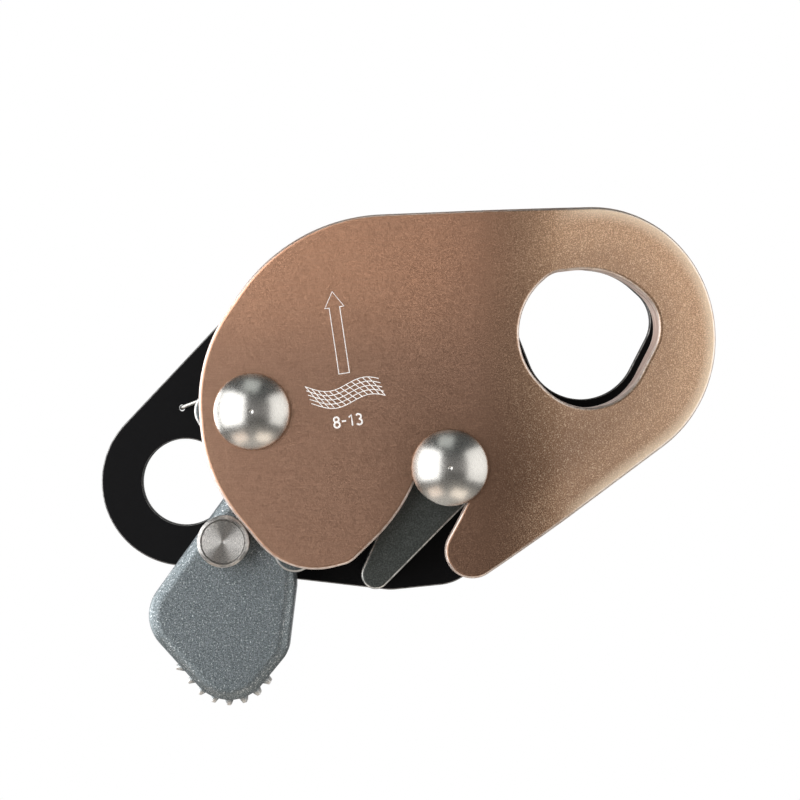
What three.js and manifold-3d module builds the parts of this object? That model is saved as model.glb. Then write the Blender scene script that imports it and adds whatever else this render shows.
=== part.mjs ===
// Rope clamp (ascender) with a fixed back plate, a swinging front plate and a toothed sprung cam.
//
// Units are millimetres. +X runs from the cam axle towards the carabiner eye, +Z is the way the
// device climbs, and -Y is the side with the domed rivet heads. Outlines are drawn about the cam
// axle, and the whole assembly is then moved so that the origin lies on the rope's centre line,
// level with the axle and midway between the plates.

import * as THREE from 'three';
import { mergeVertices } from 'three/addons/utils/BufferGeometryUtils.js';
import Module from 'manifold-3d';

const wasm = await Module();
wasm.setup();

// ---------------------------------------------------------------------------- driving dimensions

const ROPE_X = 15;                 // rope centre line, measured from the cam axle
const CHANNEL = 14;                // clear width between the plates, for ropes up to 13
const PLATE = 3.5;                 // thickness of both side plates
const EDGE = 0.6;                  // rounding of the front plate's edges
const CHAMFER = 0.3;               // chamfer of the back plate's edges
const GAP = 0.3;                   // clearance between pieces that slide past each other
const SEAT = 0.05;                 // clearance between pieces that are riveted together

const BACK_INNER = CHANNEL / 2;
const BACK_OUTER = BACK_INNER + PLATE;
const FRONT_INNER = -CHANNEL / 2;
const FRONT_OUTER = FRONT_INNER - PLATE;

const AXLE = [0, 0];               // cam axle, also the front plate's pivot
const ANVIL = [33.6, -9.5];        // rivet that holds the anvil and locks the front plate
const TETHER = [-12.2, -12.3];     // round hole in the back plate's lobe
const SPRING_HOLE = [-12.9, 0.6];  // where the torsion spring hooks into the back plate
const DOWEL = [25.6, -21];         // dowel that keeps the anvil from turning
const STOP_PIN = [-4.9, -22.1];    // turned pin on the cam's lever
const PIN_HOLE_R = 2.6;
const PIN_R = 4.4;

const SHANK_R = 3.2;               // both rivets' shanks
const NECK_R = 4.4;                // anvil rivet's neck, which runs in the front plate's slot
const DOME_R = 6.5;
const DOME_RIM = 0.5;
const DOME_HEIGHT = 3.1;
const DIMPLE_R = 0.45;
const WASHER_R = 6.6;
const WASHER = 0.8;
const REAR_HEAD_R = 5.2;
const REAR_HEAD = 1.9;
const DOWEL_R = 1.15;

const SLEEVE_R = 4.4;              // sleeve on the axle that the cam turns on
const BUSH_R = 5.4;                // cam bush, outside
const PIVOT_BUSH_R = 5.2;          // front plate's bush, outside
const THRUST_R = 7.2;
const THRUST = 0.45;

const BEND_X = 37;                 // where the front plate starts to bend back to the eye
const BEND_R = 50;
const BEND_ANGLE = THREE.MathUtils.degToRad(18.5);

const JAW_HALF = 6.3;              // half the cam's thickness at the jaw
const LEVER_HALF = 4.8;            // half the cam's thickness at the thumb lever
const HUB_BACK = 2.7;              // the hub stops here to leave room for the spring
const JAW_EDGE = 0.6;
const LEVER_EDGE = 2;
const SPIKE_R = 0.85;              // at the spike's root
const SPIKE_TIP_R = 0.35;
const SPIKE_HEIGHT = 0.95;

const WIRE_R = 0.4;
const COIL_R = 5.3;
const COIL_PITCH = 0.92;
const SPRING_SEAT = [-8.0, 0.5];   // blind hole in the hub's lug for the spring's front leg

const FINE = 10;                   // degrees per facet on outlines
const ROUND = 32;                  // facets on turned pieces

// Outlines are belts round circles [x, z, r] in counter-clockwise order: the outline runs along
// each circle and straight to the next. A negative radius is a hollow corner, zero is a sharp one.

const FRONT_OUTLINE = [
  [23.2, 2.9, 30.6],
  [18.2, 1.6, 27.2],
  [19.0, -0.2, 27.85],
  [10.8, -14.2, 12.6],
  [14.6, -21.8, 4.3],
  [...AXLE, 30.1],
  [...ANVIL, -4.7],
  [...AXLE, -39.5],
  [37.4, -23.65, 4.65],
  [58.55, 12.5, 22.45],
];
const FRONT_EYE = [
  [63.1, 14.4, 7.3],
  [57.0, 8.4, 15.8],
  [52.8, 19.2, 4.6],
  [57.0, 13.3, 11.8],
  [57.4, 11.7, 11.0],
];
const BACK_OUTLINE = [
  [21.2, 4.1, 27.7],
  [...TETHER, 14.65],
  [23.5, -22.9, 8.2],
  [31.4, -21.8, 8.5],
  [57.6, 13.2, 21.8],
];
const BACK_EYE = [
  [62.3, 15.6, 6.4],
  [57.2, 12.4, 12.2],
  [54.7, 15.7, 9.2],
  [56.7, 11.7, 9.6],
];
const ANVIL_OUTLINE = [
  [...ANVIL, 6.4],
  [21.0, -27.8, 2.5],
];
const HUB_LUG = [-6.3, 0.1, 3.7];
const JAW_OUTLINE = [
  [...AXLE, 8.0],
  HUB_LUG,
  [7.15, -23.85, 3.6],
];
const HEEL = [-10.8, -34.95, 7.15];
const NOSE = [-4.1, -42.3, 7.2];
const TOE = [1.35, -39.3, 4.9];
const LEVER_OUTLINE = [
  [...AXLE, 7.0],
  [-8.0, -10.3, -5.0],
  HEEL,
  NOSE,
  TOE,
  [4.3, -29.9, 3.1],
];

// ---------------------------------------------------------------------------- outlines

function tangentAngle([x1, z1, r1], [x2, z2, r2]) {
  const along = Math.atan2(z2 - z1, x2 - x1);
  const distance = Math.hypot(x2 - x1, z2 - z1);
  return along - Math.acos((r1 - r2) / distance);
}

function belt(circles, facet = FINE) {
  const step = THREE.MathUtils.degToRad(facet);
  const leaving = circles.map((from, i) => tangentAngle(from, circles[(i + 1) % circles.length]));
  return circles.flatMap(([x, z, r], i) => {
    const start = leaving.at(i - 1);
    const turn = THREE.MathUtils.euclideanModulo(leaving[i] - start, 2 * Math.PI);
    const sweep = r < 0 ? turn - 2 * Math.PI : turn;
    const facets = r === 0 ? 0 : Math.max(1, Math.ceil(Math.abs(sweep) / step));
    return Array.from({ length: facets + 1 }, (_, k) => {
      const angle = start + (facets ? (sweep * k) / facets : 0);
      return new THREE.Vector2(x + r * Math.cos(angle), z + r * Math.sin(angle));
    });
  });
}

function circle([x, z], r, facets = ROUND) {
  return Array.from({ length: facets }, (_, k) => {
    const angle = (2 * Math.PI * k) / facets;
    return new THREE.Vector2(x + r * Math.cos(angle), z + r * Math.sin(angle));
  });
}

// Points spaced evenly along the straight stretch between two circles of a belt, each with the
// direction out of the outline.
function alongStraight(first, second, from, pitch, count) {
  const angle = tangentAngle(first, second);
  const out = new THREE.Vector2(Math.cos(angle), Math.sin(angle));
  const [start, end] = [first, second].map(([x, z, r]) => new THREE.Vector2(x, z).addScaledVector(out, r));
  const direction = end.sub(start).normalize();
  return Array.from({ length: count }, (_, n) => (
    { place: start.clone().addScaledVector(direction, from + n * pitch), out }
  ));
}

// ---------------------------------------------------------------------------- solids

function closed(geometry) {
  geometry.deleteAttribute('normal');
  geometry.deleteAttribute('uv');
  return mergeVertices(geometry, 1e-4);
}

// An outline in X and Z with holes, solid from y = low to y = high, its edges cut back in steps.
function slab(outline, holes, low, high, edge, steps = 1) {
  const shape = new THREE.Shape(outline);
  shape.holes = holes.map((hole) => new THREE.Path(hole));
  const geometry = new THREE.ExtrudeGeometry(shape, {
    depth: high - low - 2 * edge,
    bevelEnabled: edge > 0,
    bevelThickness: edge,
    bevelSize: edge,
    bevelOffset: -edge,
    bevelSegments: steps,
  });
  geometry.rotateX(Math.PI / 2);
  geometry.translate(0, high - edge, 0);
  return closed(geometry);
}

// A piece turned about an axis along Y, from [radius, y] corners listed with y rising.
function turned([x, z], profile, facets = ROUND) {
  const corners = profile.map(([radius, y]) => new THREE.Vector2(radius, y));
  const geometry = new THREE.LatheGeometry(corners, facets);
  geometry.translate(x, 0, z);
  return closed(geometry);
}

function ring(centre, inner, outer, low, high, edge = 0.15) {
  return turned(centre, [
    [inner, low],
    [outer - edge, low],
    [outer, low + edge],
    [outer, high - edge],
    [outer - edge, high],
    [inner, high],
    [inner, low],
  ]);
}

function toManifold(geometry) {
  return new wasm.Manifold(new wasm.Mesh({
    numProp: 3,
    vertProperties: geometry.getAttribute('position').array,
    triVerts: Uint32Array.from(geometry.index.array),
  }));
}

function toGeometry(solid) {
  const mesh = solid.getMesh();
  const geometry = new THREE.BufferGeometry();
  geometry.setAttribute('position', new THREE.BufferAttribute(mesh.vertProperties, 3));
  geometry.setIndex(new THREE.BufferAttribute(mesh.triVerts, 1));
  return geometry;
}

// ---------------------------------------------------------------------------- bending a plate

function trianglesOf(geometry) {
  const position = geometry.toNonIndexed().getAttribute('position');
  return Array.from({ length: position.count / 3 }, (_, t) => (
    [0, 1, 2].map((k) => new THREE.Vector3().fromBufferAttribute(position, 3 * t + k))
  ));
}

// Divide each triangle that crosses the plane x = at, so that the plate can bend there.
function divide(triangles, at) {
  return triangles.flatMap((corners) => {
    const sides = [[], []];
    corners.forEach((a, i) => {
      const b = corners[(i + 1) % 3];
      if (a.x <= at) sides[0].push(a);
      if (a.x >= at) sides[1].push(a);
      if ((a.x - at) * (b.x - at) < 0) {
        const [low, high] = a.x < b.x ? [a, b] : [b, a];
        const crossing = low.clone().lerp(high, (at - low.x) / (high.x - low.x)).setX(at);
        sides.forEach((side) => side.push(crossing));
      }
    });
    return sides.flatMap((side) => (
      side.slice(2).map((corner, k) => [side[0], side[k + 1], corner])
    ));
  });
}

// Roll the plate back round the bend from BEND_X on, and keep it straight after the bend.
function bendPoint(point) {
  const middle = (FRONT_INNER + FRONT_OUTER) / 2;
  const beyond = point.x - BEND_X;
  if (beyond <= 0) return point;
  const angle = Math.min(beyond / BEND_R, BEND_ANGLE);
  const radius = BEND_R - (point.y - middle);
  const straight = Math.max(0, beyond - BEND_R * BEND_ANGLE);
  return new THREE.Vector3(
    BEND_X + radius * Math.sin(angle) + straight * Math.cos(angle),
    middle + BEND_R - radius * Math.cos(angle) + straight * Math.sin(angle),
    point.z,
  );
}

function bent(geometry, divisions = 4) {
  const length = BEND_R * BEND_ANGLE;
  let triangles = trianglesOf(geometry);
  for (let k = 0; k <= divisions; k += 1) {
    triangles = divide(triangles, BEND_X + (length * k) / divisions);
  }
  const corners = triangles.flat().map(bendPoint);
  return closed(new THREE.BufferGeometry().setFromPoints(corners));
}

// ---------------------------------------------------------------------------- pieces

function backPlate() {
  const holes = [
    belt(BACK_EYE),
    circle(TETHER, 7.5, 40),
    circle(AXLE, SHANK_R + SEAT, 24),
    circle(ANVIL, SHANK_R + SEAT, 24),
    circle(DOWEL, DOWEL_R + 0.1, 16),
    circle(SPRING_HOLE, WIRE_R + 0.2, 12),
  ];
  return slab(belt(BACK_OUTLINE), holes, BACK_INNER, BACK_OUTER, CHAMFER);
}

function frontPlate() {
  const holes = [belt(FRONT_EYE), circle(AXLE, PIVOT_BUSH_R + 0.08)];
  return bent(slab(belt(FRONT_OUTLINE), holes, FRONT_OUTER, FRONT_INNER, EDGE));
}

// The domed side of a rivet, from the dimple at its top out to the rim at y = seat.
function dome(seat) {
  const rim = seat - DOME_RIM;
  const sphere = (DOME_R ** 2 + DOME_HEIGHT ** 2) / (2 * DOME_HEIGHT);
  const widest = Math.asin(DOME_R / sphere);
  const narrowest = Math.asin(DIMPLE_R / sphere);
  const arc = [0, 1, 2, 3, 4, 5, 6].map((k) => {
    const angle = THREE.MathUtils.lerp(narrowest, widest, k / 6);
    return [sphere * Math.sin(angle), rim - DOME_HEIGHT + sphere * (1 - Math.cos(angle))];
  });
  return [[0, rim - DOME_HEIGHT + DIMPLE_R / 2], ...arc, [DOME_R, seat]];
}

function rearHead() {
  const seat = BACK_OUTER + WASHER + SEAT;
  return [
    [SHANK_R, seat],
    [REAR_HEAD_R, seat],
    [REAR_HEAD_R, seat + REAR_HEAD / 2],
    [REAR_HEAD_R - 1.2, seat + REAR_HEAD],
    [0, seat + REAR_HEAD],
  ];
}

function axleRivet() {
  const seat = FRONT_OUTER - GAP;
  return turned(AXLE, [...dome(seat), [SHANK_R, seat], ...rearHead()]);
}

function anvilRivet() {
  const seat = FRONT_OUTER - GAP;
  const shoulder = FRONT_INNER + GAP - SEAT;
  return turned(ANVIL, [
    ...dome(seat),
    [NECK_R, seat],
    [NECK_R, shoulder],
    [SHANK_R, shoulder],
    ...rearHead(),
  ]);
}

function rearWasher(centre) {
  return ring(centre, SHANK_R + 0.1, WASHER_R, BACK_OUTER, BACK_OUTER + WASHER);
}

function pivotBush() {
  return ring(AXLE, SHANK_R + 0.1, PIVOT_BUSH_R, FRONT_OUTER - GAP + SEAT, FRONT_INNER + SEAT);
}

function axleSleeve() {
  return ring(AXLE, SHANK_R + 0.1, SLEEVE_R, FRONT_INNER + 2 * SEAT, BACK_INNER);
}

function thrustWasher(low) {
  return ring(AXLE, SLEEVE_R + 0.1, THRUST_R, low, low + THRUST, 0.1);
}

function camBush() {
  return ring(AXLE, SLEEVE_R + 0.08, BUSH_R, -JAW_HALF + 0.2, HUB_BACK - 0.2);
}

// The dowel's hole is blind, so that nothing shows on the finger's front.
function anvilFinger() {
  const holes = [circle(ANVIL, SHANK_R + SEAT, 24)];
  const finger = slab(belt(ANVIL_OUTLINE), holes, FRONT_INNER + GAP, BACK_INNER, 0.5);
  const dowelHole = slab(circle(DOWEL, DOWEL_R + 0.1, 16), [], FRONT_INNER + 3, 10, 0);
  return toGeometry(toManifold(finger).subtract(toManifold(dowelHole)));
}

function anvilDowel() {
  const low = FRONT_INNER + 3.2;
  const high = BACK_OUTER - 0.2;
  return turned(DOWEL, [
    [0, low],
    [DOWEL_R - 0.3, low],
    [DOWEL_R, low + 0.3],
    [DOWEL_R, high],
    [0, high],
  ], 16);
}

function spike({ place, out }, y) {
  const sink = 0.4;
  const cone = new THREE.CylinderGeometry(SPIKE_TIP_R, SPIKE_R, SPIKE_HEIGHT + sink, 6);
  cone.translate(0, (SPIKE_HEIGHT - sink) / 2, 0);
  const outward = new THREE.Vector3(out.x, 0, out.y);
  cone.applyQuaternion(new THREE.Quaternion().setFromUnitVectors(THREE.Object3D.DEFAULT_UP, outward));
  cone.translate(place.x, y, place.y);
  return toManifold(closed(cone));
}

function spikes(places, rows) {
  return places.flatMap((place) => rows.map((y) => spike(place, y)));
}

// Places round the lever's nose. Past the ends of its arc, the edge runs straight on.
function nosePlaces() {
  const first = tangentAngle(HEEL, NOSE) + 2 * Math.PI;
  const last = tangentAngle(NOSE, TOE) + 2 * Math.PI;
  return Array.from({ length: 8 }, (_, k) => {
    const angle = THREE.MathUtils.degToRad(190.5 + 19.7 * k);
    const reach = NOSE[2] / Math.cos(Math.max(0, first - angle, angle - last));
    const out = new THREE.Vector2(Math.cos(angle), Math.sin(angle));
    return { place: out.clone().multiplyScalar(reach).add(new THREE.Vector2(...NOSE)), out };
  });
}

// Jaw and thumb lever are one casting, thicker at the jaw and hollowed behind the hub.
function toothedCam() {
  const jaw = slab(belt(JAW_OUTLINE), [], -JAW_HALF, JAW_HALF, JAW_EDGE);
  const lever = slab(belt(LEVER_OUTLINE), [], -LEVER_HALF, LEVER_HALF, LEVER_EDGE, 3);
  const springRoom = belt([[...AXLE, 8.8], [-8, 0, 8.8]]);
  const cuts = [
    slab(circle(AXLE, BUSH_R + SEAT), [], -10, 10, 0),
    slab(circle(STOP_PIN, PIN_HOLE_R, 24), [], -10, 10, 0),
    slab(springRoom, [], HUB_BACK, 10, 0),
    slab(circle(SPRING_SEAT, WIRE_R + 0.2, 12), [], 0.4, 10, 0),
  ];
  const [hub, , toe] = JAW_OUTLINE;
  const teeth = [
    ...spikes(nosePlaces(), [-2.2, 0, 2.2]),
    ...spikes(alongStraight(toe, hub, 3.5, 2.4, 6), [-5, -2.5, 0, 2.5, 5]),
  ];
  const body = teeth.reduce((solid, tooth) => solid.add(tooth), toManifold(jaw).add(toManifold(lever)));
  return toGeometry(cuts.reduce((solid, cut) => solid.subtract(toManifold(cut)), body));
}

function stopPin() {
  const face = FRONT_OUTER + 0.2;
  const seat = -LEVER_HALF - SEAT;
  const end = LEVER_HALF + SEAT;
  const tail = PIN_HOLE_R - 0.1;
  return turned(STOP_PIN, [
    [0, face + 0.3],
    [0.35, face],
    [PIN_R - 0.75, face],
    [PIN_R - 0.7, face + 0.3],
    [PIN_R - 0.6, face + 0.3],
    [PIN_R - 0.55, face - 0.1],
    [PIN_R - 0.35, face - 0.1],
    [PIN_R, face + 0.3],
    [PIN_R, seat],
    [tail, seat],
    [tail, end],
    [tail + 1, end],
    [tail + 1, end + 0.4],
    [tail + 0.3, end + 0.9],
    [0, end + 0.9],
  ]);
}

// The rear leg hooks into the back plate and runs on to the coil, which winds clockwise towards the
// front. The front leg leaves the coil on its tangent and turns forward into the hub's lug.
function torsionSpring() {
  const back = BACK_INNER - 0.55;
  const start = THREE.MathUtils.degToRad(111.5);
  const end = THREE.MathUtils.degToRad(225 - 3 * 360);
  const front = back - (COIL_PITCH * (start - end)) / (2 * Math.PI);
  const coil = Array.from({ length: 33 }, (_, k) => {
    const angle = THREE.MathUtils.lerp(start, end, k / 32);
    const y = THREE.MathUtils.lerp(back, front, k / 32);
    return new THREE.Vector3(COIL_R * Math.cos(angle), y, COIL_R * Math.sin(angle));
  });
  const [hookX, hookZ] = SPRING_HOLE;
  const hook = [
    new THREE.Vector3(hookX, BACK_OUTER - 0.6, hookZ),
    new THREE.Vector3(hookX, BACK_INNER + 0.4, hookZ),
    new THREE.Vector3(hookX + 0.6, back, hookZ + 0.3),
    new THREE.Vector3(hookX + 6, back, hookZ + 2.4),
  ];
  const [seatX, seatZ] = SPRING_SEAT;
  const leg = [
    new THREE.Vector3(seatX + 1.1, front, seatZ - 1.1),
    new THREE.Vector3(seatX + 0.2, front - 0.15, seatZ - 0.2),
    new THREE.Vector3(seatX, front - 0.7, seatZ),
    new THREE.Vector3(seatX, 0.9, seatZ),
  ];
  const path = new THREE.CatmullRomCurve3([...hook, ...coil, ...leg], false, 'centripetal');
  const section = new THREE.Shape(circle([0, 0], WIRE_R, 6));
  return closed(new THREE.ExtrudeGeometry(section, {
    steps: 110,
    bevelEnabled: false,
    extrudePath: path,
  }));
}

// ---------------------------------------------------------------------------- finishes

function finish(color, roughness, metalness = 1) {
  return { color, roughness, metalness };
}

const BRONZE_ANODISED = finish('#a17d63', 0.42);
const BLACK_ANODISED = finish('#1c1c1e', 0.45, 0.4);
const GREY_ANODISED = finish('#454a48', 0.5, 0.5);
const STAINLESS = finish('#c9c7c3', 0.3);
const CAST_STEEL = finish('#7b858c', 0.55);
const SPRING_STEEL = finish('#b5b2ad', 0.3);
const BRONZE_BUSH = finish('#a9824b', 0.4);

const PIECES = {
  back_plate: [backPlate(), BLACK_ANODISED],
  axle_rivet: [axleRivet(), STAINLESS],
  axle_rear_washer: [rearWasher(AXLE), STAINLESS],
  axle_sleeve: [axleSleeve(), STAINLESS],
  pivot_bush: [pivotBush(), BRONZE_BUSH],
  front_thrust_washer: [thrustWasher(FRONT_INNER + 0.1), BRONZE_BUSH],
  rear_thrust_washer: [thrustWasher(HUB_BACK + 0.1), BRONZE_BUSH],
  torsion_spring: [torsionSpring(), SPRING_STEEL],
  anvil_finger: [anvilFinger(), GREY_ANODISED],
  anvil_rivet: [anvilRivet(), STAINLESS],
  anvil_rear_washer: [rearWasher(ANVIL), STAINLESS],
  anvil_dowel: [anvilDowel(), STAINLESS],
  front_plate: [frontPlate(), BRONZE_ANODISED],
  toothed_cam: [toothedCam(), CAST_STEEL],
  cam_bush: [camBush(), BRONZE_BUSH],
  stop_pin: [stopPin(), STAINLESS],
};

const ascender = new THREE.Group();
for (const [name, [geometry, look]] of Object.entries(PIECES)) {
  const mesh = new THREE.Mesh(geometry, new THREE.MeshStandardMaterial(look));
  mesh.name = name;
  ascender.add(mesh);
}
ascender.position.x = -ROPE_X;

export default ascender;
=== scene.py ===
"""Rope clamp (ascender): its detailed pieces, finishes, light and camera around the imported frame."""

from math import acos, asin, atan2, ceil, cos, hypot, pi, radians, sin

import bmesh
import bpy
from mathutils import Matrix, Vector


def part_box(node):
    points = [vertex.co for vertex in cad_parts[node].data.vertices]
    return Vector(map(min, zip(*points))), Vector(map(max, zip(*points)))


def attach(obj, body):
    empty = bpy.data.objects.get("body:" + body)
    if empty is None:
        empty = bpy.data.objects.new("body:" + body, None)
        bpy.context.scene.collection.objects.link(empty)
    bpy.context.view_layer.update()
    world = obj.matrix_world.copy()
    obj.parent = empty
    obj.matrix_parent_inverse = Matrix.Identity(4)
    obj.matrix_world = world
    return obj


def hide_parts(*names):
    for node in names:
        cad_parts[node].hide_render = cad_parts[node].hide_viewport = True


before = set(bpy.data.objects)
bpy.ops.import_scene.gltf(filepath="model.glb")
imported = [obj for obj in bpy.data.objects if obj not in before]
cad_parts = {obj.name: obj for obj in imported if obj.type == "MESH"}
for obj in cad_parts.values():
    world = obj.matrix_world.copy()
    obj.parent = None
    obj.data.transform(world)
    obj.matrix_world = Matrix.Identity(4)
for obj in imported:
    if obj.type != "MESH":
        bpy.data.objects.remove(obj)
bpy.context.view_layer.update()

MM = 0.001

# ---------------------------------------------------------------------------- places from the frame


def centre(node):
    """The middle of a CAD node in X and Z, in metres."""
    low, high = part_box(node)
    return ((low.x + high.x) / 2, (low.z + high.z) / 2)


AXLE = centre("axle_rivet")
ANVIL = centre("anvil_rivet")
STOP_PIN = centre("stop_pin")

PIN_AT = ((STOP_PIN[0] - AXLE[0]) / MM, (STOP_PIN[1] - AXLE[1]) / MM)

BACK_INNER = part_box("back_plate")[0].y
BACK_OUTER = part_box("back_plate")[1].y
PLATE = BACK_OUTER - BACK_INNER
FRONT_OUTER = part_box("front_plate")[0].y
FRONT_INNER = FRONT_OUTER + PLATE

# ---------------------------------------------------------------------------- sizes in millimetres

PLATE_EDGE = 0.6               # rounding of the front plate's edges
BACK_EDGE = 0.3                # chamfer of the back plate's edges
SHANK_R = 3.2
SHANK_HOLE_R = SHANK_R + 0.1
NECK_R = 4.4
DOME_R = 6.5
DOME_RIM = 0.5
DOME_HEIGHT = 3.1
DIMPLE_R = 0.45
WASHER = 0.8
REAR_HEAD_R = 5.2
REAR_HEAD = 1.9
PIVOT_BUSH_R = 5.2
SPRING_HOLE_R = 0.6
TETHER_R = 7.5

BEND_X = 37                    # where the front plate starts to bend back to the eye
BEND_R = 50
BEND_ANGLE = radians(18.5)

JAW_HALF = 6.3
LEVER_HALF = 4.8
HUB_BACK = 2.7                 # the hub ends here, to leave room for the spring
HUB_ROOM_R = 8.8
HUB_BORE_R = 5.45
JAW_EDGE = 0.6
LEVER_EDGE = 2
PIN_HOLE_R = 2.6
PIN_R = 4.4
PIN_RIM = 0.74
SPIKE_R = 0.85                 # at the spike's root
SPIKE_TIP_R = 0.35
SPIKE_HEIGHT = 0.95
SPIKE_COUNT = 8                # round the nose, in each row
SPIKE_FIRST = 190.5            # degrees
SPIKE_STEP = 19.7
SPIKE_ROWS = (-2.2, 0, 2.2)
TOOTH_COUNT = 6                # along the jaw, in each row
TOOTH_FIRST = 3.5
TOOTH_STEP = 2.4
TOOTH_ROWS = (-5, -2.5, 0, 2.5, 5)
THROUGH = (-10, 10)            # from front to back of anything bored right through

WIRE_R = 0.4
COIL_R = 5.3
COIL_PITCH = 0.92

# Outlines are belts round circles [x, z, r] in millimetres from the cam axle, counter-clockwise:
# the outline runs along each circle and straight to the next. A negative radius is a hollow
# corner, zero is a sharp one.

AXLE_AT = (0, 0)
ANVIL_AT = (33.6, -9.5)
TETHER_AT = (-12.2, -12.3)
SPRING_HOLE_AT = (-12.9, 0.6)
SPRING_SEAT_AT = (-8.0, 0.5)

FRONT_OUTLINE = [
    (23.2, 2.9, 30.6), (18.2, 1.6, 27.2), (19.0, -0.2, 27.85), (10.8, -14.2, 12.6),
    (14.6, -21.8, 4.3), (*AXLE_AT, 30.1), (*ANVIL_AT, -4.7), (*AXLE_AT, -39.5),
    (37.4, -23.65, 4.65), (58.55, 12.5, 22.45),
]
FRONT_EYE = [
    (63.1, 14.4, 7.3), (57.0, 8.4, 15.8), (52.8, 19.2, 4.6), (57.0, 13.3, 11.8), (57.4, 11.7, 11.0),
]
BACK_OUTLINE = [
    (21.2, 4.1, 27.7), (*TETHER_AT, 14.65), (23.5, -22.9, 8.2), (31.4, -21.8, 8.5), (57.6, 13.2, 21.8),
]
BACK_EYE = [(62.3, 15.6, 6.4), (57.2, 12.4, 12.2), (54.7, 15.7, 9.2), (56.7, 11.7, 9.6)]
ANVIL_OUTLINE = [(*ANVIL_AT, 6.4), (21.0, -27.8, 2.5)]
JAW_OUTLINE = [(*AXLE_AT, 8.0), (-6.3, 0.1, 3.7), (7.15, -23.85, 3.6)]
HEEL = (-10.8, -34.95, 7.15)
NOSE = (-4.1, -42.3, 7.2)
TOE = (1.35, -39.3, 4.9)
LEVER_OUTLINE = [(*AXLE_AT, 7.0), (-8.0, -10.3, -5.0), HEEL, NOSE, TOE, (4.3, -29.9, 3.1)]

# ---------------------------------------------------------------------------- outlines


def tangent_angle(first, second):
    x1, z1, r1 = first
    x2, z2, r2 = second
    return atan2(z2 - z1, x2 - x1) - acos((r1 - r2) / hypot(x2 - x1, z2 - z1))


def belt(circles, facet=2.5):
    """The outline round the circles as points (x, z), with a facet every few degrees."""
    following = circles[1:] + circles[:1]
    leaving = [tangent_angle(a, b) for a, b in zip(circles, following)]
    outline = []
    for i, (x, z, r) in enumerate(circles):
        start = leaving[i - 1]
        turn = (leaving[i] - start) % (2 * pi)
        sweep = turn - 2 * pi if r < 0 else turn
        facets = max(1, ceil(abs(sweep) / radians(facet))) if r else 0
        for k in range(facets + 1):
            angle = start + (sweep * k / facets if facets else 0)
            outline.append((x + r * cos(angle), z + r * sin(angle)))
    return outline


def circle(at, r, facets=96):
    return [
        (at[0] + r * cos(2 * pi * k / facets), at[1] + r * sin(2 * pi * k / facets))
        for k in range(facets)
    ]


def inset(outline, by):
    """The outline moved towards its left by a distance, its corners mitred."""
    moved = []
    for i, (x, z) in enumerate(outline):
        before = Vector(outline[i - 1])
        after = Vector(outline[(i + 1) % len(outline)])
        here = Vector((x, z))
        arriving = (here - before).normalized()
        leaving = (after - here).normalized()
        left = Vector((-arriving.y - leaving.y, arriving.x + leaving.x)).normalized()
        widen = left.dot(Vector((-leaving.y, leaving.x)))
        moved.append(here + left * (by / max(widen, 0.3)))
    return moved


# ---------------------------------------------------------------------------- meshes


def place(x, y, z):
    """A point in metres from millimetres about the cam axle, y already in the frame."""
    return Vector((AXLE[0] + x * MM, y * MM, AXLE[1] + z * MM))


def to_object(name, bm):
    bmesh.ops.remove_doubles(bm, verts=bm.verts, dist=1e-7)
    bmesh.ops.recalc_face_normals(bm, faces=bm.faces)
    mesh = bpy.data.meshes.new(name)
    bm.to_mesh(mesh)
    bm.free()
    mesh.shade_smooth()
    mesh.set_sharp_from_angle(angle=radians(32))
    piece = bpy.data.objects.new(name, mesh)
    bpy.context.scene.collection.objects.link(piece)
    return piece


def edge_profile(low, high, edge, steps):
    """(y, inset) pairs from the front face round its rounded edge and on to the back face."""
    support = 0.04
    corner = [(edge * (1 - cos(a)), edge * (1 - sin(a))) for a in (
        pi / 2 * k / steps for k in range(steps + 1)
    )]
    front = [(low, edge + support)] + [(low + y, by) for y, by in corner]
    back = [(high - y, by) for y, by in reversed(corner)] + [(high, edge + support)]
    return front + back


def slab_mesh(outline, holes, low, high, edge, steps=4):
    """A plate in X and Z from y = low to y = high, in millimetres, with its edges rounded."""
    bm = bmesh.new()
    profile = edge_profile(low, high, edge, steps)
    caps = ([], [])
    for loop in [outline] + [list(reversed(hole)) for hole in holes]:
        rings = [
            [bm.verts.new(place(x, y, z)) for x, z in inset(loop, by)]
            for y, by in profile
        ]
        for ring, following in zip(rings, rings[1:]):
            for i in range(len(ring)):
                j = (i + 1) % len(ring)
                bm.faces.new((ring[i], ring[j], following[j], following[i]))
        for cap, ring in zip(caps, (rings[0], rings[-1])):
            cap.extend(bm.edges.get((ring[i - 1], ring[i])) for i in range(len(ring)))
    for cap in caps:
        bmesh.ops.triangle_fill(bm, use_beauty=True, edges=cap)
    return bm


def turned_mesh(at, profile, segments=128):
    """A piece turned about an axis along Y, from (radius, y) corners in millimetres."""
    bm = bmesh.new()
    rings = []
    for radius, y in profile:
        if radius == 0:
            rings.append([bm.verts.new(place(at[0], y, at[1]))])
        else:
            rings.append([bm.verts.new(place(x, y, z)) for x, z in circle(at, radius, segments)])
    for ring, following in zip(rings, rings[1:]):
        for i in range(segments):
            j = (i + 1) % segments
            if len(ring) == 1:
                bm.faces.new((ring[0], following[j], following[i]))
            elif len(following) == 1:
                bm.faces.new((ring[i], ring[j], following[0]))
            else:
                bm.faces.new((ring[i], ring[j], following[j], following[i]))
    return bm


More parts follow.
